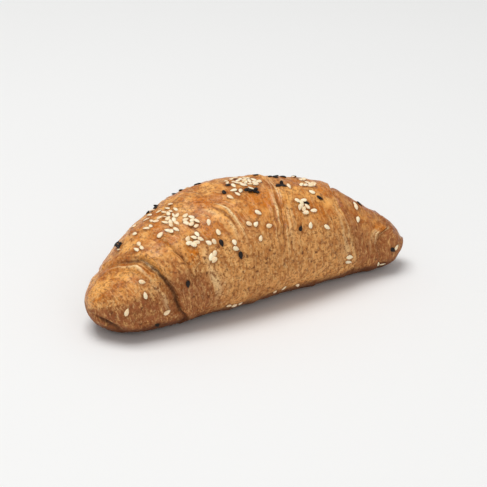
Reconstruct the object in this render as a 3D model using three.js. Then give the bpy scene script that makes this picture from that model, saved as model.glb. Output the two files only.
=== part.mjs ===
// A wholemeal croissant with sesame seeds on its crust.
// It lies along X on its flat underside. +Z is up, and both ends bend towards -Y. Lengths are in mm.
// Angles are in degrees round the loaf: 0 is the crown, 90 the -Y flank, -90 the +Y flank, 180 the underside.
import * as THREE from 'three';

// Cross-sections from the blunt nose to the thin tip: along X, centre in Y, half width, then three heights:
// the crown, the widest place, and the underside before it is pressed flat.
const SECTIONS = [
  [-77.5, -17.5, 0, 13, 13, 13],
  [-76.5, -17, 6, 18, 13, 8.5],
  [-72.5, -16, 11.5, 22, 13, 4],
  [-64, -15, 19, 29, 14.5, 0],
  [-50, -11, 24, 39.9, 16, -2.5],
  [-32, -6, 29, 46.6, 18, -2.5],
  [-12, -3, 31.5, 50.2, 20, -2.5],
  [10, -1.5, 29.5, 48.6, 20, -2.5],
  [30, -2, 25.5, 45, 19, -2.5],
  [47, -3.5, 19.5, 38.3, 16, -1.5],
  [61, -6.5, 14, 27.7, 13.5, 0],
  [68, -8.8, 11, 23.3, 12.8, 2],
  [72, -9.7, 7.8, 19.2, 12.2, 5],
  [75, -10, 4.5, 14.3, 11.5, 7.8],
  [77.5, -10, 0, 12, 12, 12],
];
const FLOOR_BLEND = 0.8; // half height of the soft corner where the underside meets the flat base

// The edges of the rolled dough. "ring" is the edge's X at angles round the loaf, "up" the side whose layer
// lies on top (1 towards +X), "lip" how far that layer stands up, "dip" how deep the crevice goes and "reach"
// the length over which it rises again.
const SEAMS = [
  {
    up: 1, lip: 0.8, dip: 1.8, reach: 3.6,
    ring: [
      [-95, -62], [-35, -66], [0, -61.5], [25, -56], [50, -50.2], [75, -45.2], [105, -41], [125, -38.5],
      [190, -46],
    ],
  },
  {
    up: 1, lip: 0.4, dip: 0.7, reach: 2.6,
    ring: [[-90, -47], [-30, -51], [12, -48], [40, -42], [70, -36.5], [100, -34], [190, -38]],
  },
  {
    up: -1, lip: 0.6, dip: 0.6, reach: 2.6,
    ring: [[-75, -30], [-20, -32], [5, -27], [25, -15], [50, -10], [90, -8], [170, -18]],
  },
  {
    up: -1, lip: 0.5, dip: 0.7, reach: 2.6,
    ring: [[-90, 17], [-30, 15], [15, 12], [45, 10], [80, 7], [130, 9], [190, 14]],
  },
  {
    up: -1, lip: 1.1, dip: 1.7, reach: 2.2,
    ring: [[-90, 44], [-30, 45.5], [0, 42.5], [30, 40.5], [75, 44.5], [120, 46], [190, 42]],
  },
  {
    up: -1, lip: 0.4, dip: 0.6, reach: 2.6,
    ring: [[-100, 64], [-20, 66], [40, 65], [70, 58], [110, 59], [190, 62]],
  },
];
const LIP_REACH = 6; // length over which a lip sinks back into its layer
const ROUND = 44; // facets round the loaf

// Seeds. A hulled sesame seed is a flat drop about 3 mm long.
const SEED_LENGTH = 3.1;
const SEED_WIDTH = 1.9;
const SEED_THICKNESS = 0.9;
const SEED_SIDES = 8;
const SEED_GAP = 0.3; // clearance between a seed and the crust
const SEED_SPACING = 3.5; // least distance between two seeds' centres
const SIZE_SPREAD = 0.1; // seeds differ in size by this share

// Patches where the seeds lie close: X, angle, reach along X, reach in angle, how many.
const WHITE_PATCHES = [
  [-38.5, 5, 6, 16, 5],
  [-32.5, 43, 3.5, 5, 3],
  [-30.5, 24, 3, 9, 3],
  [0, 0, 8, 10, 3],
  [22.5, 37, 3, 9, 2],
];
const BLACK_PATCHES = [
  [-37, -28, 4, 5, 2],
];
// Seeds that lie alone: X and angle.
const WHITE_SINGLES = [
  [-66, 82], [-58, 52], [-49, 100], [-53.5, 12], [-45, 22], [-52, -5], [-24, 34], [-21.5, 45], [-16, 57],
  [-27.5, 61], [-1, 38], [-7, 46], [2, 51], [22.5, 57], [30.5, 60], [29.5, 21], [32, 7], [51, 24], [42, 94],
  [68.5, 89], [-10, 18],
];
const BLACK_SINGLES = [
  [-57, -36], [-58, -19], [-39.5, 76], [-15.5, -28], [-7, 2], [-11, 10], [-0.5, 13], [3.2, 17], [17, -11],
  [22.5, -9], [29, -15], [17, 14], [24.5, 34], [32.5, 28], [17.5, 58], [-21.5, 54], [-14.5, 68], [54.5, 15],
  [-52, 122],
];

const CRUST = { color: '#c88a4c', roughness: 0.55, metalness: 0 };
const WHITE = { color: '#ecd3a8', roughness: 0.5, metalness: 0 };
const BLACK = { color: '#231a15', roughness: 0.4, metalness: 0 };

const { clamp, degToRad, lerp, smoothstep } = THREE.MathUtils;

// A small repeatable random source, so that the scatter is always the same.
let state = 20417;
function random() {
  state = (state * 16807) % 2147483647;
  return state / 2147483647;
}

// The sections joined by two smooth curves: one for place and width, one for the heights.
const curve = (points) => new THREE.CatmullRomCurve3(points, false, 'catmullrom', 0.5);
const plan = curve(SECTIONS.map(([x, y, half]) => new THREE.Vector3(x, y, half)));
const heights = curve(
  SECTIONS.map(([, , , crown, widest, under]) => new THREE.Vector3(crown, widest, under)));

// Length along the crust from the nose to each step of the curves, and X there, to look positions up by.
const STEPS = 800;
const lengths = [0];
const stations = [plan.getPoint(0).x];
for (let i = 1; i <= STEPS; i++) {
  const a = plan.getPoint((i - 1) / STEPS);
  const b = plan.getPoint(i / STEPS);
  const rise = heights.getPoint(i / STEPS).x - heights.getPoint((i - 1) / STEPS).x;
  lengths.push(lengths[i - 1] + Math.hypot(b.x - a.x, b.y - a.y, Math.hypot(b.z - a.z, rise) / Math.SQRT2));
  stations.push(b.x);
}
const LENGTH = lengths[STEPS];

// Linear look-up of value in the rising list from, answered from the list to.
function lookUp(value, from, to) {
  let i = 1;
  while (i < from.length - 1 && from[i] < value) i++;
  const k = clamp((value - from[i - 1]) / (from[i] - from[i - 1] || 1), 0, 1);
  return lerp(to[i - 1], to[i], k);
}
const fractions = lengths.map((_, i) => i / STEPS);

// A seam's position at an angle, as a length along the crust: a smooth closed ring through its points.
function seamAt(seam, angle) {
  const n = seam.ring.length;
  const turn = (i) => seam.ring[((i % n) + n) % n][0] + 360 * Math.floor(i / n);
  const place = (i) => seam.ring[((i % n) + n) % n][1];
  let i = -n;
  while (turn(i + 1) <= angle) i++;
  const span = turn(i + 1) - turn(i);
  const k = (angle - turn(i)) / span;
  const slope = (j) => (place(j + 1) - place(j - 1)) / (turn(j + 1) - turn(j - 1));
  const x = place(i) * (1 + 2 * k) * (1 - k) ** 2 + place(i + 1) * k * k * (3 - 2 * k)
    + span * (slope(i) * k * (1 - k) ** 2 - slope(i + 1) * k * k * (1 - k));
  return lookUp(x, stations, lengths);
}

// Height of the crust over the plain loaf: each seam's lip falls away on the upper layer's side, and its
// crevice rises again on the other side. Seams are shallower where the loaf is thin.
function relief(length, angle, half) {
  let sum = 0;
  for (const seam of SEAMS) {
    const d = (length - seamAt(seam, angle)) * seam.up;
    const over = smoothstep(d, -0.5, 0.5);
    sum += over * seam.lip * Math.exp(-((d / LIP_REACH) ** 2));
    sum -= (1 - over) * seam.dip * Math.exp(-((d / seam.reach) ** 2));
  }
  return sum * clamp(half / 12, 0, 1);
}

// A point on the crust: an egg-shaped section, wider below than above, pressed flat at the floor.
function crustPoint(length, angle) {
  const t = lookUp(length, lengths, fractions);
  const { x, y, z: half } = plan.getPoint(t);
  const { x: crown, y: widest, z: under } = heights.getPoint(t);
  const turn = degToRad(angle);
  const rise = Math.cos(turn) > 0 ? crown - widest : widest - under;
  const out = half > 0.01 ? relief(length, angle, half) : 0;
  let z = widest + (rise + out) * Math.cos(turn);
  if (z < -FLOOR_BLEND) z = 0;
  else if (z < FLOOR_BLEND) z = (z + FLOOR_BLEND) ** 2 / (4 * FLOOR_BLEND);
  return new THREE.Vector3(x, y - (Math.max(half, 0) + out) * Math.sin(turn), z);
}

// Rows of facets follow the seams: four rows lie close about each seam, and the rest fill the bands evenly.
const BAND_ROWS = [8, 1, 3, 5, 5, 2, 5];
function rowsAt(angle) {
  const rows = [];
  const edges = [[0, 0]];
  for (const seam of SEAMS) {
    const s = seamAt(seam, angle);
    edges.push(seam.up > 0 ? [s - 2, s - 0.5, s + 0.7, s + 2.4] : [s - 2.4, s - 0.7, s + 0.5, s + 2]);
  }
  edges.push([LENGTH]);
  edges.forEach((edge, i) => {
    if (i > 0) {
      const from = edges[i - 1][edges[i - 1].length - 1];
      for (let k = 1; k <= BAND_ROWS[i - 1]; k++) {
        rows.push(lerp(from, edge[0], k / (BAND_ROWS[i - 1] + 1)));
      }
      if (i < edges.length - 1) rows.push(...edge);
    }
  });
  return rows;
}

// The baked loaf as one closed body: rings of facets between a pole at the nose and a pole at the tip.
function loafGeometry() {
  const points = [];
  let rings = 0;
  for (let j = 0; j < ROUND; j++) {
    const angle = (360 * j) / ROUND;
    const rows = rowsAt(angle);
    rings = rows.length;
    rows.forEach((s) => points.push(...crustPoint(s, angle).toArray()));
  }
  const nose = points.length / 3;
  points.push(...crustPoint(0, 0).toArray());
  points.push(...crustPoint(LENGTH, 0).toArray());
  const faces = [];
  for (let j = 0; j < ROUND; j++) {
    const a = j * rings;
    const b = ((j + 1) % ROUND) * rings;
    faces.push(nose, b, a);
    for (let i = 0; i < rings - 1; i++) {
      faces.push(a + i, b + i + 1, a + i + 1, a + i, b + i, b + i + 1);
    }
    faces.push(nose + 1, a + rings - 1, b + rings - 1);
  }
  const geometry = new THREE.BufferGeometry();
  geometry.setAttribute('position', new THREE.Float32BufferAttribute(points, 3));
  geometry.setIndex(faces);
  geometry.computeVertexNormals();
  return geometry;
}

// One seed: a drop turned about its length, pointed at one end, then flattened.
const DROP = [[0, -0.5], [0.3, -0.38], [0.48, -0.12], [0.42, 0.15], [0.22, 0.38], [0, 0.5]];
function seedGeometry() {
  const profile = DROP.map(([r, h]) => new THREE.Vector2(r * SEED_WIDTH, h * SEED_LENGTH));
  const geometry = new THREE.LatheGeometry(profile, SEED_SIDES);
  geometry.scale(1, 1, SEED_THICKNESS / SEED_WIDTH);
  return geometry;
}

const group = new THREE.Group();
const loaf = new THREE.Mesh(loafGeometry(), new THREE.MeshStandardMaterial(CRUST));
loaf.name = 'croissant';
group.add(loaf);
loaf.updateMatrixWorld(true);

// Lays a seed flat on the crust where a line from outside meets it, turned at random about the line.
const caster = new THREE.Raycaster();
const centres = [];
function laySeed(x, angle) {
  const length = lookUp(x, stations, lengths);
  const turn = degToRad(angle);
  const aim = crustPoint(length, angle);
  const outward = new THREE.Vector3(0, -Math.sin(turn), Math.cos(turn));
  caster.set(aim.clone().addScaledVector(outward, 20), outward.clone().negate());
  const hit = caster.intersectObject(loaf)[0];
  const normal = hit.face.normal;
  const centre = hit.point.clone().addScaledVector(normal, SEED_THICKNESS / 2 + SEED_GAP);
  if (centres.some((c) => c.distanceTo(centre) < SEED_SPACING)) return null;
  centres.push(centre);
  const along = new THREE.Vector3(1, 0, 0).cross(normal).normalize();
  along.applyAxisAngle(normal, random() * Math.PI * 2);
  const across = along.clone().cross(normal);
  const seed = new THREE.Mesh(seedGeometry());
  seed.position.copy(centre);
  seed.quaternion.setFromRotationMatrix(new THREE.Matrix4().makeBasis(across, along, normal));
  seed.scale.setScalar(1 + SIZE_SPREAD * (2 * random() - 1));
  return seed;
}

// Lays the single seeds, then fills each patch, trying places until the patch has its number.
function scatter(name, look, singles, patches) {
  const seeds = singles.map(([x, angle]) => laySeed(x, angle));
  for (const [x, angle, reach, spread, count] of patches) {
    let laid = 0;
    for (let tries = 0; laid < count && tries < 400; tries++) {
      const r = Math.sqrt(random());
      const a = random() * Math.PI * 2;
      const seed = laySeed(x + reach * r * Math.cos(a), angle + spread * r * Math.sin(a));
      if (seed) laid += 1;
      seeds.push(seed);
    }
  }
  seeds.filter(Boolean).forEach((seed, i) => {
    seed.name = `${name}_${String(i + 1).padStart(2, '0')}`;
    seed.material = new THREE.MeshStandardMaterial(look);
    group.add(seed);
  });
}
scatter('black_sesame', BLACK, BLACK_SINGLES, BLACK_PATCHES);
scatter('white_sesame', WHITE, WHITE_SINGLES, WHITE_PATCHES);

// The origin is the middle of the whole thing's footprint, on the surface it lies on.
const box = new THREE.Box3().setFromObject(group);
const middle = box.getCenter(new THREE.Vector3());
group.position.set(-middle.x, -middle.y, -box.min.z);

export default group;
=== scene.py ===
"""A seeded wholemeal croissant on a pale sweep, in soft studio light.

Lengths are in millimetres until a mesh is made. Angles are in degrees and go round the loaf: 0 is the crown,
90 the -Y flank, -90 the +Y flank and 180 the underside.
"""

import bpy
import numpy as np
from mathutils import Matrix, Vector
from mathutils.bvhtree import BVHTree


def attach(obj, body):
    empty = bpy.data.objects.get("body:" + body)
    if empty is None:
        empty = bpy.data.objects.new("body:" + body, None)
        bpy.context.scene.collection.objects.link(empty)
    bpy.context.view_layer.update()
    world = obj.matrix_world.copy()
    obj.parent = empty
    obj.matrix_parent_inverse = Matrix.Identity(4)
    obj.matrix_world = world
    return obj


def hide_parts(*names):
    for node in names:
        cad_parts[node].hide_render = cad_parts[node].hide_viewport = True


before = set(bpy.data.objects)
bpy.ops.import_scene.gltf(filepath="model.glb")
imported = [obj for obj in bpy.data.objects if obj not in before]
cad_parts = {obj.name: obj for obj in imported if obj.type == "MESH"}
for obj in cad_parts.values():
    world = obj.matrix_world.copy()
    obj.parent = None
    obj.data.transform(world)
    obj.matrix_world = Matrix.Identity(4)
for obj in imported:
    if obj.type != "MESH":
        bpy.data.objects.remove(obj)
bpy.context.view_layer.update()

MM = 0.001

# The loaf's cross-sections, as the solid has them: X, centre in Y, half width, then the heights of the crown,
# of the widest place and of the underside before it is pressed flat
SECTIONS = np.array([
    [-77.5, -17.5, 0, 13, 13, 13],
    [-76.5, -17, 6, 18, 13, 8.5],
    [-72.5, -16, 11.5, 22, 13, 4],
    [-64, -15, 19, 29, 14.5, 0],
    [-50, -11, 24, 39.9, 16, -2.5],
    [-32, -6, 29, 46.6, 18, -2.5],
    [-12, -3, 31.5, 50.2, 20, -2.5],
    [10, -1.5, 29.5, 48.6, 20, -2.5],
    [30, -2, 25.5, 45, 19, -2.5],
    [47, -3.5, 19.5, 38.3, 16, -1.5],
    [61, -6.5, 14, 27.7, 13.5, 0],
    [68, -8.8, 11, 23.3, 12.8, 2],
    [72, -9.7, 7.8, 19.2, 12.2, 5],
    [75, -10, 4.5, 14.3, 11.5, 7.8],
    [77.5, -10, 0, 12, 12, 12],
], float)
FLOOR_BLEND = 0.8  # half the height over which the flanks turn into the flat underside

# The edges of the rolled dough. "ring" is the edge's X at angles round the loaf, and "up" the side whose
# layer lies on top: 1 is towards +X. "lip" is how far the edge stands up, "soft" how rounded it is and "lap"
# how far it hangs over. "dip" is how deep the crevice is and "reach" how wide. "arc" is the angle and the
# reach of an edge that fades elsewhere on the front. "drawn" says where the dough is drawn out in strands: a
# distance from the edge and its reach, an angle and its reach, and how strongly.
SEAMS = [
    dict(up=1, lip=0.9, dip=2.3, reach=2.8, soft=0.8, lap=0.5, arc=(60, 70), drawn=(-4, 4, 50, 50, 1.2),
         ring=[[-95, -62], [-35, -66], [0, -61.5], [25, -56], [50, -50.2], [75, -45.2], [105, -41],
               [125, -38.5], [190, -46]]),
    dict(up=1, lip=0.6, dip=1.3, reach=1.7, soft=0.45, lap=0.5, arc=(48, 17), drawn=(6, 6, 72, 24, 0.7),
         ring=[[-90, -47], [-30, -51], [12, -48], [40, -42], [70, -36.5], [100, -34], [190, -38]]),
    dict(up=-1, lip=0.7, dip=0.9, reach=1.7, soft=0.6, lap=0.4, arc=(22, 26), drawn=(-2, 5, 22, 24, 1.6),
         ring=[[-75, -30], [-20, -32], [5, -27], [25, -15], [50, -10], [90, -8], [170, -18]]),
    dict(up=-1, lip=0.5, dip=0.8, reach=1.7, soft=0.6, lap=0.3, arc=(26, 40), drawn=(1, 5.5, 32, 34, 1.6),
         ring=[[-90, 17], [-30, 15], [15, 12], [45, 10], [80, 7], [130, 9], [190, 14]]),
    dict(up=-1, lip=1.6, dip=2.9, reach=1.8, soft=0.5, lap=0.7, arc=(-15, 42), drawn=(-4, 5, 60, 50, 0.7),
         ring=[[-90, 44], [-30, 45.5], [0, 42.5], [30, 40.5], [75, 44.5], [120, 46], [190, 42]]),
    dict(up=-1, lip=0.5, dip=0.8, reach=1.7, soft=0.5, lap=0.3, drawn=(-1, 3.5, 64, 24, 1.3),
         ring=[[-100, 64], [-20, 66], [40, 65], [70, 58], [110, 59], [190, 62]]),
]
NOSE_SEAM, TIP_SEAM = 0, 4  # the seam that closes the nose, and the one beyond which the thin tip starts
LIP_REACH = 6  # how far a lip's swelling runs back from its edge
HOLLOW_REACH = 4.5  # how wide the shallow hollow outside a crevice is
HOLLOW_SHARE = 0.25  # and how deep, as a share of the crevice's depth
FULL_DEPTH = 2.4  # crevices this deep get the darkest painted shade

# Where the egg wash baked orange: X, angle and reach
ORANGE = [(3.5, 25, 7.5), (-4, 36, 4), (-25, 38, 6), (-34, 53, 5), (61, 48, 5), (35, 16, 4), (-74, 40, 3),
          (-22, 10, 6), (-45, 8, 5)]

BRAN_SPACING = 2.3  # from one bran flake to the next

ROUND_MM = 0.42  # length round the crust of one degree, about its middle
ROLL_RADIUS = 25  # radius of the roll on which the patterns that follow the dough are worked out
ROUND = 300  # columns of the crust's grid, round the loaf
ALONG = 328  # rows of the crust's grid, nose to tip
CROWDED = 2.6  # rows lie closer together within this length of a seam
CROWDED_SHARE = 0.028  # the share of the rows on each side of a seam that do

SEED_SIZE = np.array([1.8, 3.1, 0.75])  # width, length and thickness of a sesame seed
SINK = 0.3  # how far a seed sinks into the crust
SEED_NEAR = 2.4  # a seed that lies nearer than this to another rides up on it
RIDE = 0.25  # how far it rides up on each one, on two at most
TRIES = 60  # places tried for each strewn seed before its patch counts as full
HALO_RADIUS = 2.5  # how far from a seed's middle the browner egg wash and painted shade round it fade out
SEED_EDGE = 1.4  # and where they are darkest

# Small seeds, strewn at random: X, angle, a reach along X, a reach in angle and how many
WHITE_PATCHES = [
    (-38, 2, 6, 15, 12), (-39, 22, 2.5, 5, 4), (-30.5, 24, 2.5, 8, 5), (-32.5, 43, 3, 4, 7),
    (-25.5, 51, 2, 2, 3), (-27, 62, 2, 3, 2), (-45, 0, 3, 7, 3), (-54, 16, 2, 6, 2), (-58, -16, 2, 3, 1),
    (-44, -22, 6, 10, 4), (-16, 57, 1.5, 5, 1), (-5, 47, 3, 2, 2), (1, -1, 8, 10, 19), (-3, 14, 5, 5, 4),
    (-4, 59, 1, 1, 1), (22, 37, 2, 7, 5), (26, 42, 1, 2, 1), (27, 12, 2, 3, 2), (32, 7, 2, 5, 4),
    (20, 14, 1, 2, 1), (29, -8, 4, 6, 3), (51, 26, 1, 4, 1), (50, 50, 1, 2, 1), (42, 98, 1, 5, 1),
    (61, 126, 1.5, 3, 2), (-16, 122, 3, 3, 3), (10, 122, 8, 3, 3), (-60, 60, 8, 10, 1),
    (-25, -45, 14, 14, 9), (12, -45, 14, 14, 9), (-5, -80, 30, 16, 5),
]
BLACK_PATCHES = [
    (1.5, 15, 2, 3, 3), (10, -13, 1.5, 3, 1), (18.5, -10, 1.5, 3, 2), (16.5, 12, 1.5, 3, 3),
    (66, 92, 0.8, 1, 1), (-58, -21, 1, 3, 2), (-15.5, -27, 1, 2, 2), (-24, -30, 2, 4, 2),
    (-35, -27, 3, 4, 2), (-20, -45, 10, 8, 3), (12, -52, 18, 14, 5), (40, -22, 7, 8, 2),
]
WHITE_GAP, BLACK_GAP = 1.95, 1.5  # the least distance between the middles of two seeds


# ---------------------------------------------------------------- numbers

def smooth(low, high, value):
    """0 below low, 1 above high, and 3k^2 - 2k^3 between them."""
    k = np.clip((value - low) / (high - low), 0, 1)
    return k * k * (3 - 2 * k)


def hump(value, middle, reach):
    """A bell, 1 at the middle: exp(-((value - middle) / reach)^2)."""
    return np.exp(-(((value - middle) / reach) ** 2))


def noise(points, size, seed):
    """Value noise from -1 to 1: random numbers on a cubic lattice of that size, joined by smooth steps."""
    p = np.asarray(points, float) / np.asarray(size, float) + 31.7 * seed
    cell = np.floor(p).astype(np.int64)
    k = p - cell
    k = k * k * (3 - 2 * k)
    total = 0
    for corner in np.ndindex(2, 2, 2):
        c = cell + np.array(corner)
        h = (c[..., 0] * 73856093) ^ (c[..., 1] * 19349663) ^ (c[..., 2] * 83492791)
        h = (h ^ (h >> 13)) * 1274126177 & 0x7FFFFFFF
        h = (h ^ (h >> 15)) * 668265263 & 0x7FFFFFFF
        weight = np.prod(np.where(corner, k, 1 - k), axis=-1)
        total = total + weight * (h / 0x3FFFFFFF - 1)
    return total


def catmull(points, t):
    """A uniform Catmull-Rom curve through the points, its ends reflected, at t from 0 to 1."""
    last = len(points) - 1
    s = np.clip(t, 0, 1) * last
    i = np.minimum(s.astype(int), last - 1)
    f = (s - i)[..., None]
    ends = np.vstack([2 * points[0] - points[1], points, 2 * points[-1] - points[-2]])
    before, a, b, after = (ends[i + k] for k in range(4))
    v, w = (b - before) / 2, (after - a) / 2
    return (2 * a - 2 * b + v + w) * f**3 + (3 * b - 3 * a - 2 * v - w) * f**2 + v * f + a


# ---------------------------------------------------------------- the loaf

FRACTIONS = np.linspace(0, 1, 2001)
CURVE = catmull(SECTIONS, FRACTIONS)
STEP = np.diff(CURVE, axis=0)
LENGTHS = np.concatenate([[0], np.cumsum(np.sqrt(
    STEP[:, 0] ** 2 + STEP[:, 1] ** 2 + (STEP[:, 2] ** 2 + STEP[:, 3] ** 2) / 2))])
LENGTH = LENGTHS[-1]


def section_at(length):
    """The section's six numbers at a length along the crust, measured from the nose."""
    return np.moveaxis(catmull(SECTIONS, np.interp(length, LENGTHS, FRACTIONS)), -1, 0)


def length_at(x):
    """The length along the crust at an X."""
    return np.interp(x, CURVE[:, 0], LENGTHS)


def seam_at(seam, angle):
    """A seam's length along the crust at each angle: cubic pieces through its ring, which closes on itself.
    At each of the ring's points the slope is that of the line through its two neighbours."""
    ring = np.array(seam["ring"], float)
    turns = (-2, -1, 0, 1, 2)
    turn = np.concatenate([ring[:, 0] + 360 * k for k in turns])
    place = np.tile(ring[:, 1], len(turns))
    slope = np.zeros_like(place)
    slope[1:-1] = (place[2:] - place[:-2]) / (turn[2:] - turn[:-2])
    i = np.searchsorted(turn, angle, side="right") - 1
    span = turn[i + 1] - turn[i]
    k = (angle - turn[i]) / span
    x = (place[i] * (1 + 2 * k) * (1 - k) ** 2 + place[i + 1] * k * k * (3 - 2 * k)
         + span * (slope[i] * k * (1 - k) ** 2 - slope[i + 1] * k * k * (1 - k)))
    return length_at(x)


def plain_loaf(length, angle, out=0.0):
    """An egg-shaped section, y = centre - half sin, z = widest + rise cos, grown outwards by out. It is
    pressed flat at the floor through a soft corner, z = (z + b)^2 / 4b for z between -b and b."""
    x, y, half, crown, widest, under = section_at(length)
    sin, cos = np.sin(np.radians(angle)), np.cos(np.radians(angle))
    rise = np.where(cos > 0, crown - widest, widest - under)
    z = widest + (rise + out) * cos
    corner = (z + FLOOR_BLEND) ** 2 / (4 * FLOOR_BLEND)
    z = np.where(z < -FLOOR_BLEND, 0, np.where(z < FLOOR_BLEND, corner, z))
    return np.stack([x, y - (np.maximum(half, 0) + out) * sin, z], -1)


def crust_grid(angle, seams):
    """The length along the crust of each point of the grid, whose rows are spread evenly but crowded at the
    seams, and the share of the rows that lie before each row."""
    knots = [np.zeros_like(angle)]
    share = [0.0]
    for seam in seams:
        middle = float(seam.mean()) / LENGTH
        knots += [seam - CROWDED, seam + CROWDED]
        share += [middle - CROWDED_SHARE, middle + CROWDED_SHARE]
    knots.append(np.full_like(angle, LENGTH))
    share.append(1.0)
    rows = np.linspace(0, 1, ALONG + 2)[1:-1]
    knots = np.concatenate(knots)
    return np.stack([np.interp(rows, share, knots[:, j]) for j in range(ROUND)], 1), rows


def crust():
    """The baked surface on a grid of lengths and angles. Over the plain loaf it adds, at each seam, a lip
    that hangs over a deep groove, then strand ridges that run along the seam, then lumps, wrinkles, folds
    and pits of 2 to 15 mm. Returns the points, their place on the rolled dough (millimetres across the
    seams and along them) and, for the finish, how washed, browned, near the tray, orange and mealy each
    one is, how much painted shade lies in its crevices and in each furrow between strand ridges, and how
    much pale strand tone with a painted highlight it has."""
    angle = np.linspace(-180, 180, ROUND, endpoint=False)[None, :]
    turn = np.radians(angle)
    wheel = np.stack([np.cos(turn) * ROLL_RADIUS, np.sin(turn) * ROLL_RADIUS, 0 * angle], -1)
    # the seams waver by about half a millimetre, over 7 mm and over 2 mm
    seams = [seam_at(seam, angle) + 0.6 * noise(wheel, 7, 3 + n) + 0.45 * noise(wheel, 2.2, 13 + n)
             for n, seam in enumerate(SEAMS)]
    length, rows = crust_grid(angle, seams)
    angle = np.broadcast_to(angle, length.shape)
    across = np.broadcast_to(rows[:, None] * LENGTH, length.shape)

    # nothing stands out of the two blunt ends, where the rows close up
    thick = np.clip(section_at(length)[2] / 12, 0, 1)
    base = plain_loaf(length, angle)
    x = base[..., 0]
    turned = np.stack([wheel[..., 0] + 0 * across, wheel[..., 1] + 0 * across, across], -1)
    out, shift, crevice, drawn = (np.zeros_like(length) for _ in range(4))
    for n, seam in enumerate(SEAMS):
        away = length - seams[n]
        d = away * seam["up"]
        over = smooth(-seam["soft"], seam["soft"], d)
        # a seam is weaker here and there and near the floor, and one with an arc fades elsewhere on the front
        strength = (0.75 + 0.35 * noise(base, 11, 40 + n)) * (0.3 + 0.7 * smooth(1, 9, base[..., 2]))
        if "arc" in seam:
            behind = smooth(-40, -75, angle) * smooth(-180, -140, angle)
            strength = strength * (0.25 + 0.8 * np.maximum(hump(angle, *seam["arc"]), behind))
        out += over * seam["lip"] * hump(d, 0, LIP_REACH) * strength
        out -= (1 - over) * seam["dip"] * hump(d, 0, seam["reach"]) * strength
        out -= (1 - over) * HOLLOW_SHARE * seam["dip"] * hump(d, 0, HOLLOW_REACH) * strength
        shift -= seam["up"] * seam["lap"] * hump(d, 0.6, 0.9) * strength
        # painted shade in the seam's crevices, darker where they are deeper
        crevice = np.maximum(crevice, (1 - over) * seam["dip"] / FULL_DEPTH * strength
                             * hump(d, -0.35 * seam["reach"], 0.55 * seam["reach"]))
        offset, reach, middle, spread, fibre = seam["drawn"]
        drawn = np.maximum(drawn, fibre * hump(away, offset, reach) * hump(angle, middle, spread))
    # strands 1 to 2 mm wide and 10 to 20 mm long lie along the seams where the dough was drawn out
    drawn = drawn * np.clip(0.85 + 0.5 * noise(base, 13, 50), 0, 1.3)
    coarse = noise(turned, (15, 15, 1.6), 60)
    grain = noise(turned, (8, 8, 0.9), 61)
    out += drawn * (0.65 * coarse + 0.35 * grain)
    # the raised strand ridges get a pale dough tone and a painted highlight
    pale_strands_and_highlight = drawn * smooth(0.05, 0.6, 0.7 * coarse + 0.6 * grain)
    # painted shade in each furrow, where the relief sinks between strand ridges
    furrow_shade = drawn * smooth(0.05, 0.6, -0.7 * coarse - 0.6 * grain)
    # a rim round the nose, just outside its seam, a slit under it, and swellings before and on the thin tip
    out += 0.5 * hump(length - seams[NOSE_SEAM], -5.5, 1.6) * hump(angle, 30, 50)
    slit = hump(angle, 117 + 3.5 * (x + 71), 9) * hump(x, -71.5, 5)
    out -= 2.7 * slit
    # painted shade in the slit as well
    crevice = np.maximum(crevice, slit)
    out += 0.2 * hump(x, 67, 3.5) * hump(angle, 0, 60)
    out += 0.8 * hump(length - seams[TIP_SEAM], 4.2, 3) * hump(angle, -10, 40)

    lumps = 0.75 * noise(base, 15, 1) + 0.45 * noise(base, 7, 2)
    wrinkles = 0.24 * noise(base, (3.4, 2.6, 2.6), 5) + 0.13 * noise(base, 1.5, 6)
    folds = 0.3 * (1 - np.abs(noise(turned, (9, 9, 5), 16))) ** 4
    pits = smooth(0.45, 0.8, noise(base, 1.9, 7)) * 0.25
    out = (out + lumps + wrinkles + folds - pits) * thick
    points = plain_loaf(length + shift * thick, angle, out)

    # the egg wash reaches about 54 degrees down on either side, and ends softly and unevenly
    low = np.abs(angle)
    wash_line = 54 + 14 * noise(base, 12, 8) + 9 * noise(base, 4, 9)
    wash = 1 - smooth(-14, 14, low - wash_line)
    # the thin tip, the low part of the nose and the low flank beside it baked browner
    browned = (0.6 * smooth(0, 2.5, length - seams[TIP_SEAM]) + 0.2 * smooth(52, 66, x)
               + 1.1 * smooth(-52, -62, x) * smooth(65, 100, low)
               + 0.95 * smooth(-12, -36, x) * smooth(55, 80, low) + 0.35 * noise(base, 9, 11))
    # and so did the lowest 5 to 10 mm, next to the tray
    tray = smooth(9.5, 4.5, points[..., 2] + 1.6 * noise(base, 5, 10))
    orange = 0
    for patch_x, patch_angle, reach in ORANGE:
        away = np.hypot(x - patch_x, (angle - patch_angle) * ROUND_MM) + 2 * noise(base, 4, 12)
        orange = np.maximum(orange, smooth(reach, 0.3 * reach, away))
    # the mealy grain is fainter under the egg wash and towards the tip
    mealy = (1 - 0.55 * wash) * (0.75 + 0.4 * smooth(0, -35, x))
    rolled = np.stack([across, angle * ROUND_MM], -1)
    return points, rolled, dict(wash=wash, crevice=np.clip(crevice, 0, 1), pale_strands_and_highlight=np.clip(pale_strands_and_highlight, 0, 1),
                                furrow_shade=np.clip(furrow_shade, 0, 1), browned=np.clip(browned, 0, 1), tray=tray,
                                orange=orange, mealy=mealy)


# ---------------------------------------------------------------- meshes

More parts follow.
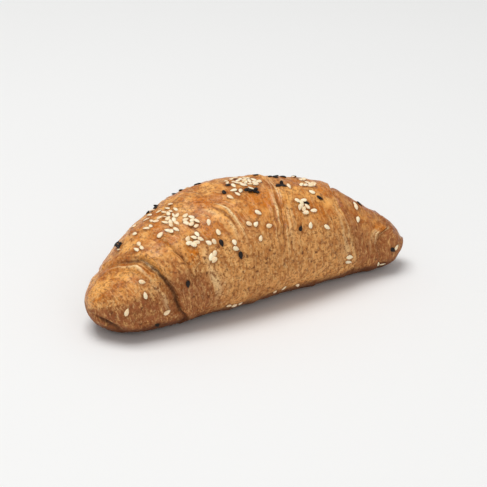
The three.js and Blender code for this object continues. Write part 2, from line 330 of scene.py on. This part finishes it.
def piece(name, points, faces, material, values=None, rolled=None):
    """A finished piece: points in millimetres about the loaf's own origin, placed where the solid lies.
    Values are kept on the points, and rolled on the corners of the faces, as a UV map in millimetres."""
    mesh = bpy.data.meshes.new(name)
    mesh.from_pydata(((points + PLACE) * MM).tolist(), [], faces)
    for key, value in (values or {}).items():
        layer = mesh.attributes.new(key, "FLOAT", "POINT")
        layer.data.foreach_set("value", np.asarray(value, np.float32))
    if rolled is not None:
        mesh.uv_layers.new(name="rolled").data.foreach_set("uv", rolled.astype(np.float32).ravel())
    mesh.polygons.foreach_set("use_smooth", np.ones(len(mesh.polygons), bool))
    mesh.materials.append(material)
    mesh.update()
    made = bpy.data.objects.new(name, mesh)
    bpy.context.scene.collection.objects.link(made)
    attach(made, "root")
    return made


def closed_grid(rows, columns):
    """Faces of a grid that closes round and has a pole before its first row and one after its last. The two
    poles come after the grid's own points."""
    i, j = np.meshgrid(np.arange(rows - 1), np.arange(columns), indexing="ij")
    k = (j + 1) % columns
    quads = np.stack([i * columns + j, i * columns + k, (i + 1) * columns + k, (i + 1) * columns + j], -1)
    j = np.arange(columns)
    k = (j + 1) % columns
    first, last = rows * columns, rows * columns + 1
    end = (rows - 1) * columns
    return (quads.reshape(-1, 4).tolist()
            + np.stack([k, j, np.full(columns, first)], -1).tolist()
            + np.stack([end + j, end + k, np.full(columns, last)], -1).tolist())


def corner_values(grid, step):
    """A grid's values at the corners of closed_grid's faces. Going round, the last column's far side is one
    step past it, and a pole has the value of the row beside it."""
    grid = np.concatenate([grid, grid[:, -1:] + step], 1)
    quads = np.stack([grid[:-1, :-1], grid[:-1, 1:], grid[1:, 1:], grid[1:, :-1]], 2).reshape(-1, 2)
    first, last = grid[0], grid[-1]
    start = np.stack([first[1:], first[:-1], first[:-1]], 1).reshape(-1, 2)
    end = np.stack([last[:-1], last[1:], last[:-1]], 1).reshape(-1, 2)
    return np.concatenate([quads, start, end])


def seed_shape(rows, columns):
    """A flat drop: radius 0.5 sin(pi v^0.8)^(0.5 + 0.45 v) along v, blunt at the start and pointed at the
    end, with a round section. Its length, width and thickness are 1."""
    v = np.linspace(0, 1, rows + 2)[1:-1][:, None]
    u = np.linspace(0, 2 * np.pi, columns, endpoint=False)[None, :]
    radius = 0.5 * np.sin(np.pi * v**0.8) ** (0.5 + 0.45 * v)
    grid = np.stack([radius * np.cos(u), v - 0.5 + 0 * u, radius * np.sin(u)], -1).reshape(-1, 3)
    return np.vstack([grid, [[0, -0.5, 0], [0, 0.5, 0]]]), closed_grid(rows, columns)


# ---------------------------------------------------------------- materials

def colour(code):
    """An sRGB hex code as a linear colour."""
    c = np.array([int(code[i:i + 2], 16) for i in (0, 2, 4)]) / 255
    return (*np.where(c <= 0.04045, c / 12.92, ((c + 0.055) / 1.055) ** 2.4), 1.0)


def add(tree, kind, inputs=None, **settings):
    """Adds a node with its settings. An input's value is a number, a colour, a vector, the socket that feeds
    it, or a node whose first output does."""
    made = tree.nodes.new(kind)
    for key, value in settings.items():
        setattr(made, key, value)
    for key, value in (inputs or {}).items():
        if isinstance(value, bpy.types.Node):
            value = value.outputs[0]
        if isinstance(value, bpy.types.NodeSocket):
            tree.links.new(value, made.inputs[key])
        else:
            made.inputs[key].default_value = value
    return made


def new_material(name):
    """An empty node material with its shader and its object coordinates."""
    material = bpy.data.materials.new(name)
    material.use_nodes = True
    tree = material.node_tree
    tree.nodes.clear()
    shader = add(tree, "ShaderNodeBsdfPrincipled")
    add(tree, "ShaderNodeOutputMaterial", {"Surface": shader})
    place = add(tree, "ShaderNodeTexCoord").outputs["Object"]
    return material, tree, shader, place


def layered(tree, skin, layers):
    """Lays colours over a skin. A layer is its colour, where it lies, and how strongly. The last is a
    number, a pattern, or a pattern with the values between which it rises in a smooth step and the strengths
    it rises from and to."""
    for code, where, strength in layers:
        if isinstance(strength, tuple):
            pattern, low, high, start, end = strength
            strength = add(tree, "ShaderNodeMapRange", {
                "Value": pattern, "From Min": low, "From Max": high, "To Min": start, "To Max": end},
                interpolation_type="SMOOTHSTEP")
        amount = add(tree, "ShaderNodeMath", {0: where, 1: strength}, operation="MULTIPLY")
        skin = add(tree, "ShaderNodeMix", {0: amount, 6: skin, 7: colour(code)}, data_type="RGBA").outputs[2]
    return skin


def egg_washed_wholemeal_crust():
    """Wholemeal croissant crust, brushed with egg on top and baked: a satin golden crown with orange
    blotches, matte tan flanks full of bran specks, pale strand ridges where the dough was drawn out with a
    painted highlight on them, painted shade in the crevices and in each furrow between the ridges, and
    browned egg wash with painted shade round each seed."""
    material, tree, shader, place = new_material("egg_washed_wholemeal_crust")
    rolled = add(tree, "ShaderNodeUVMap", uv_map="rolled").outputs[0]
    marked = {name: add(tree, "ShaderNodeAttribute", attribute_name=name).outputs["Fac"] for name in (
        "wash", "crevice", "pale_strands_and_highlight", "furrow_shade", "browned", "tray", "orange", "seed_rim_wash_and_shade", "mealy")}

    # each pattern's size in millimetres along X, Y and Z, or across the seams and along them, then its detail
    # and roughness
    pattern = {}
    for name, source, size, detail, rough in [
        ("flank_mottle", place, (5, 5, 5), 3, 0.55),
        ("crown_mottle", place, (6, 6, 6), 3, 0.55),
        ("crown_blotch", place, (9, 9, 9), 2, 0.55),
        ("fine_fibre", rolled, (0.8, 7, 1), 2, 0.6),
        ("coarse_fibre", rolled, (1.1, 9, 1), 2, 0.6),
        ("orange_gaps", place, (1.5, 1.5, 1.5), 3, 0.55),
        ("dark_meal", place, (2.4, 2.4, 2.4), 3, 0.75),
        ("pale_meal", place, (1.5, 2.6, 2.6), 3, 0.6),
        ("dark_fleck", place, (1.2, 1.2, 1.2), 2, 0.7),
        ("pale_fleck", place, (0.9, 1.6, 1.6), 2, 0.6),
        ("flake_edge", place, (0.7, 0.7, 0.7), 2, 0.55),
        ("flake_size", place, (4, 4, 4), 3, 0.55),
        ("crevice_gaps", place, (1.6, 1.6, 1.6), 3, 0.55),
        ("satin", place, (2.5, 2.5, 2.5), 3, 0.55),
        ("relief", place, (1, 1, 1), 3, 0.65),
    ]:
        unit = MM if source == place else 1
        scaled = add(tree, "ShaderNodeMapping", {"Vector": source, "Scale": [1 / (n * unit) for n in size]})
        pattern[name] = add(tree, "ShaderNodeTexNoise", {
            "Vector": scaled, "Scale": 1.0, "Detail": detail, "Roughness": rough})

    # bran flakes are 0.5 to 1 mm wide, one in each cell, ragged and of all sizes
    cells = add(tree, "ShaderNodeTexVoronoi", {"Vector": place, "Scale": 1 / (BRAN_SPACING * MM)})
    each = add(tree, "ShaderNodeSeparateColor", {"Color": cells.outputs["Color"]})
    ragged = add(tree, "ShaderNodeMath", {0: pattern["flake_size"], 1: 0.7}, operation="MULTIPLY")
    ragged = add(tree, "ShaderNodeMath", {0: pattern["flake_edge"], 1: ragged}, operation="ADD")
    ragged = add(tree, "ShaderNodeMath", {0: cells.outputs["Distance"], 1: ragged}, operation="ADD")

    # what is read, the values between which it rises in a smooth step, and what it rises from and to
    step = {}
    for name, source, low, high, start, end in [
        ("unbrowned", marked["browned"], 0, 1, 1, 0.45),
        ("in_crevice", marked["crevice"], 0.1, 0.8, 0, 0.95),
        ("flake", ragged, 0.96, 1.14, 1, 0),
        ("bare", marked["wash"], 0, 1, 0.85, 0.5),
        ("dark_cells", each, 0.45, 0.95, 0, 1),
        ("gloss", marked["wash"], 0, 1, 0.7, 0.32),
        ("gloss_patches", pattern["satin"], 0.3, 0.7, -0.08, 0.1),
    ]:
        step[name] = add(tree, "ShaderNodeMapRange", {
            "Value": source, "From Min": low, "From Max": high, "To Min": start, "To Max": end},
            interpolation_type="SMOOTHSTEP")
    bran = add(tree, "ShaderNodeMath", {0: step["flake"], 1: step["bare"]}, operation="MULTIPLY")
    bran = add(tree, "ShaderNodeMath", {0: bran, 1: step["dark_cells"]}, operation="MULTIPLY").outputs[0]
    pale = add(tree, "ShaderNodeMath", {0: marked["mealy"], 1: step["unbrowned"]}, operation="MULTIPLY")

    flank = layered(tree, colour("bf7c3c"), [("e3a15b", 1, (pattern["flank_mottle"], 0.35, 0.65, 0, 1))])
    crown = layered(tree, colour("bf6b1d"), [
        ("fab25c", 1, (pattern["crown_mottle"], 0.36, 0.64, 0, 1)),
        ("bf690b", 1, (pattern["crown_blotch"], 0.50, 0.62, 0, 0.8)),
    ])
    skin = add(tree, "ShaderNodeMix", {0: marked["wash"], 6: flank, 7: crown}, data_type="RGBA").outputs[2]
    skin = layered(tree, skin, [
        ("8b441e", 1, (marked["browned"], 0, 1, 0, 0.8)),
        # fibres, then painted shade in each furrow and painted highlight on the pale strand ridges
        ("f2bb72", 1, (pattern["fine_fibre"], 0.5, 0.70, 0, 0.6)),
        ("8c4c16", 1, (pattern["coarse_fibre"], 0.51, 0.70, 0, 0.6)),
        ("80440f", marked["furrow_shade"], 0.75),
        ("ffdea4", marked["pale_strands_and_highlight"], 0.95),
        ("ce740c", marked["orange"], (pattern["orange_gaps"], 0.3, 0.6, 0.6, 1)),
        # mealy grain, and the bran
        ("8c4c14", 1, (pattern["dark_meal"], 0.48, 0.64, 0, 0.6)),
        ("f1bd77", pale, (pattern["pale_meal"], 0.50, 0.68, 0, 0.65)),
        ("7c420f", marked["mealy"], (pattern["dark_fleck"], 0.49, 0.66, 0, 0.65)),
        ("f8cf92", pale, (pattern["pale_fleck"], 0.56, 0.72, 0, 0.5)),
        ("643510", bran, 1),
        # painted shade in crevices, browned egg wash and painted shade round each seed, and the underside
        ("50290b", step["in_crevice"], (pattern["crevice_gaps"], 0.3, 0.6, 0.65, 1)),
        ("7c4312", marked["seed_rim_wash_and_shade"], 0.5),
        ("633314", marked["tray"], 0.85),
    ])
    tree.links.new(skin, shader.inputs["Base Color"])

    rough = add(tree, "ShaderNodeMath", {0: step["gloss"], 1: step["gloss_patches"]}, operation="ADD")
    tree.links.new(rough.outputs[0], shader.inputs["Roughness"])
    shader.inputs["IOR"].default_value = 1.45
    shader.inputs["Specular IOR Level"].default_value = 0.4

    meal = add(tree, "ShaderNodeMath", {0: pattern["relief"], 1: 0.6}, operation="MULTIPLY")
    fibres = add(tree, "ShaderNodeMath", {0: pattern["fine_fibre"], 1: 0.5}, operation="MULTIPLY")
    height = add(tree, "ShaderNodeMath", {0: meal, 1: fibres}, operation="ADD")
    fine = add(tree, "ShaderNodeBump", {"Strength": 0.9, "Distance": 0.5 * MM, "Height": height})
    flakes = add(tree, "ShaderNodeBump", {
        "Strength": 0.6, "Distance": 0.25 * MM, "Height": bran, "Normal": fine})
    tree.links.new(flakes.outputs[0], shader.inputs["Normal"])
    return material


def hulled_white_sesame():
    """Hulled sesame, lightly toasted: ivory, a little oily, browner here and there."""
    material, tree, shader, place = new_material("hulled_white_sesame")
    toast = add(tree, "ShaderNodeAttribute", attribute_name="toast").outputs["Fac"]
    cloud = add(tree, "ShaderNodeTexNoise", {"Vector": place, "Scale": 1 / (1.5 * MM), "Detail": 2.0})
    skin = layered(tree, colour("ffeecc"), [("ebbb80", toast, cloud)])
    tree.links.new(skin, shader.inputs["Base Color"])
    shader.inputs["Roughness"].default_value = 0.42
    shader.inputs["IOR"].default_value = 1.47
    shader.inputs["Subsurface Weight"].default_value = 0.15
    shader.inputs["Subsurface Radius"].default_value = (1.0, 0.6, 0.35)
    shader.inputs["Subsurface Scale"].default_value = 0.8 * MM
    return material


def black_sesame():
    """Unhulled black sesame: near black with a brown cast, and a dull skin with fine wrinkles."""
    material, tree, shader, place = new_material("black_sesame")
    cloud = add(tree, "ShaderNodeTexNoise", {"Vector": place, "Scale": 1 / (0.8 * MM), "Detail": 2.0})
    skin = layered(tree, colour("0f0b09"), [("2a1f19", 1, cloud)])
    tree.links.new(skin, shader.inputs["Base Color"])
    shader.inputs["Specular IOR Level"].default_value = 0.25
    shader.inputs["Roughness"].default_value = 0.5
    shader.inputs["IOR"].default_value = 1.47
    wrinkles = add(tree, "ShaderNodeBump", {"Strength": 0.4, "Distance": 0.1 * MM, "Height": cloud})
    tree.links.new(wrinkles.outputs[0], shader.inputs["Normal"])
    return material


def pale_sweep():
    """Painted studio sweep: an even, matte off-white."""
    material, tree, shader, place = new_material("pale_sweep")
    cloud = add(tree, "ShaderNodeTexNoise", {"Vector": place, "Scale": 3.0, "Detail": 1.0})
    skin = layered(tree, colour("eeeeed"), [("f0f0ef", 1, cloud)])
    tree.links.new(skin, shader.inputs["Base Color"])
    shader.inputs["Roughness"].default_value = 0.9
    shader.inputs["Specular IOR Level"].default_value = 0.2
    return material


# ---------------------------------------------------------------- the croissant

def node_points(node):
    """A CAD node's points in millimetres."""
    points = np.empty(len(node.data.vertices) * 3)
    node.data.vertices.foreach_get("co", points)
    return points.reshape(-1, 3) / MM


corners = node_points(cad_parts["croissant"])
nose = corners[np.argmin(corners[:, 0])]
PLACE = nose - [SECTIONS[0, 0], SECTIONS[0, 1], SECTIONS[0, 3]]

points, rolled, values = crust()
poles = plain_loaf(np.array([0.0, LENGTH]), np.array([0.0, 0.0]))
flat = np.vstack([points.reshape(-1, 3), poles])
values = {k: np.concatenate([v.ravel(), v[[0, -1], ROUND // 2]]) for k, v in values.items()}
faces = closed_grid(ALONG, ROUND)
loaf = piece("croissant_crust", flat, faces, egg_washed_wholemeal_crust(), values,
             corner_values(rolled, [0, ROUND_MM * 360 / ROUND]))
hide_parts("croissant")

# ---------------------------------------------------------------- the seeds

SESAME = {"white_sesame": hulled_white_sesame(), "black_sesame": black_sesame()}
SURFACE = BVHTree.FromPolygons((flat + PLACE).tolist(), faces)
HEART_Y, HEART_Z = corners[:, 1].mean(), 15  # the loaf's heart, which every seed faces away from
rng = np.random.default_rng(7)


def lay(shape, centre, along, normal, scale, sink=SINK):
    """A seed's points: turned so that it points along and its flat side faces the normal, and set on the
    crust so that it sinks in by sink millimetres."""
    found, _, _, _ = SURFACE.find_nearest(Vector(centre))
    size = SEED_SIZE * scale
    normal = normal / np.linalg.norm(normal)
    along = along - normal * (along @ normal)
    along = along / np.linalg.norm(along)
    axes = np.stack([np.cross(along, normal), along, normal])
    return (shape * size) @ axes + np.array(found) + normal * (size[2] / 2 - sink) - PLACE


taken = []  # the middles of the seeds that are laid
shape, sides = seed_shape(8, 12)
for name, node in sorted(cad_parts.items()):
    if name == "croissant":
        continue
    at = node_points(node)
    centre = at.mean(0)
    taken.append(centre)
    # the solid seed's longest, middle and shortest directions
    long, _, short = np.linalg.svd(at - centre, full_matrices=False)[2]
    normal = short * np.sign(short @ (centre - [centre[0], HEART_Y, HEART_Z]))
    tilt = normal + rng.normal(0, 0.14, 3)
    scale = rng.uniform(0.98, 1.2, 3)
    kind = name.rpartition("_")[0]
    seed = piece(name + "_seed", lay(shape, centre, long, tilt, scale), sides, SESAME[kind],
                 {"toast": np.full(len(shape), rng.uniform(0, 1))})
    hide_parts(name)


def strewn(kind, patches, gap, seed):
    """Small seeds in one piece. They lie at random within each patch, an oval on the crust, turned at
    random, with their middles at least gap apart, and one that lands near another rides up on it and
    tilts."""
    rng = np.random.default_rng(seed)
    shape, sides = seed_shape(6, 8)
    sides = [np.array(f) for f in sides]
    points, faces, toast = [], [], []
    for x, angle, reach, spread, count in patches:
        laid = 0
        for _ in range(TRIES * count):
            if laid == count:
                break
            r, turn = np.sqrt(rng.uniform()), rng.uniform(0, 2 * np.pi)
            length = length_at(x + reach * r * np.cos(turn))
            at = angle + spread * r * np.sin(turn)
            centre = plain_loaf(length, at) + PLACE
            near = [np.linalg.norm(centre - c) for c in taken]
            if min(near) < gap:
                continue
            out = plain_loaf(length, at, 1.0) + PLACE - centre
            under = min(sum(n < SEED_NEAR for n in near), 2)
            normal = out / np.linalg.norm(out) + rng.normal(0, 0.12 + 0.1 * under, 3)
            points.append(lay(shape, centre, rng.normal(0, 1, 3), normal, rng.uniform(0.95, 1.18, 3),
                              SINK - RIDE * under))
            faces += [(f + len(shape) * len(toast)).tolist() for f in sides]
            toast.append(rng.uniform(0, 1))
            taken.append(centre)
            laid += 1
    toast = np.repeat(toast, len(shape))
    piece(kind + "_strewn", np.vstack(points), faces, SESAME[kind], {"toast": toast})


strewn("white_sesame", WHITE_PATCHES, WHITE_GAP, 11)
strewn("black_sesame", BLACK_PATCHES, BLACK_GAP, 12)

# the egg wash pools and browns round each seed, with painted shade laid there as well
seed_rim_wash_and_shade = np.zeros(len(flat))
for centre in taken:
    seed_rim_wash_and_shade = np.maximum(seed_rim_wash_and_shade, smooth(HALO_RADIUS, SEED_EDGE, np.linalg.norm(flat + PLACE - centre, axis=1)))
loaf.data.attributes.new("seed_rim_wash_and_shade", "FLOAT", "POINT").data.foreach_set("value", seed_rim_wash_and_shade.astype(np.float32))

# ---------------------------------------------------------------- sweep, light and camera

bpy.ops.mesh.primitive_plane_add(size=8, location=(0, 0, 0))
floor = bpy.context.object
floor.name = "sweep"
floor.data.materials.append(pale_sweep())

LOAF_MIDDLE = Vector((0, 0, 0.02))  # in metres


def area_light(name, place, size, watts, tint):
    """A square soft box aimed at the loaf. Its place and size are in metres."""
    light = bpy.data.lights.new(name, "AREA")
    light.size = size
    light.energy = watts
    light.color = colour(tint)[:3]
    box = bpy.data.objects.new(name, light)
    box.location = place
    box.rotation_euler = (LOAF_MIDDLE - Vector(place)).to_track_quat("-Z", "Y").to_euler()
    bpy.context.scene.collection.objects.link(box)


area_light("key_softbox", (-0.24, 0.1, 1.5), 0.95, 15.5, "ffffff")
area_light("front_fill", (-0.2, -1.8, 0.9), 1.4, 5.9, "ffffff")

world = bpy.data.worlds.new("studio")
world.use_nodes = True
background = world.node_tree.nodes["Background"]
background.inputs["Color"].default_value = colour("ffffff")
background.inputs["Strength"].default_value = 0.42
bpy.context.scene.world = world
bpy.context.scene.view_settings.view_transform = "Standard"

AZIMUTH, ELEVATION = np.radians(-25), np.radians(25)
DISTANCE = 720
LEVEL = np.cos(ELEVATION)
BACK = np.array([np.sin(AZIMUTH) * LEVEL, -np.cos(AZIMUTH) * LEVEL, np.sin(ELEVATION)])
AIM = np.array([-0.7, -6, 22.7]) + PLACE
camera = bpy.data.cameras.new("camera")
camera.lens = 122
camera.sensor_width = 36
view = bpy.data.objects.new("camera", camera)
view.location = (AIM + BACK * DISTANCE) * MM
view.rotation_euler = (-Vector(BACK)).to_track_quat("-Z", "Y").to_euler()
bpy.context.scene.collection.objects.link(view)
bpy.context.scene.camera = view
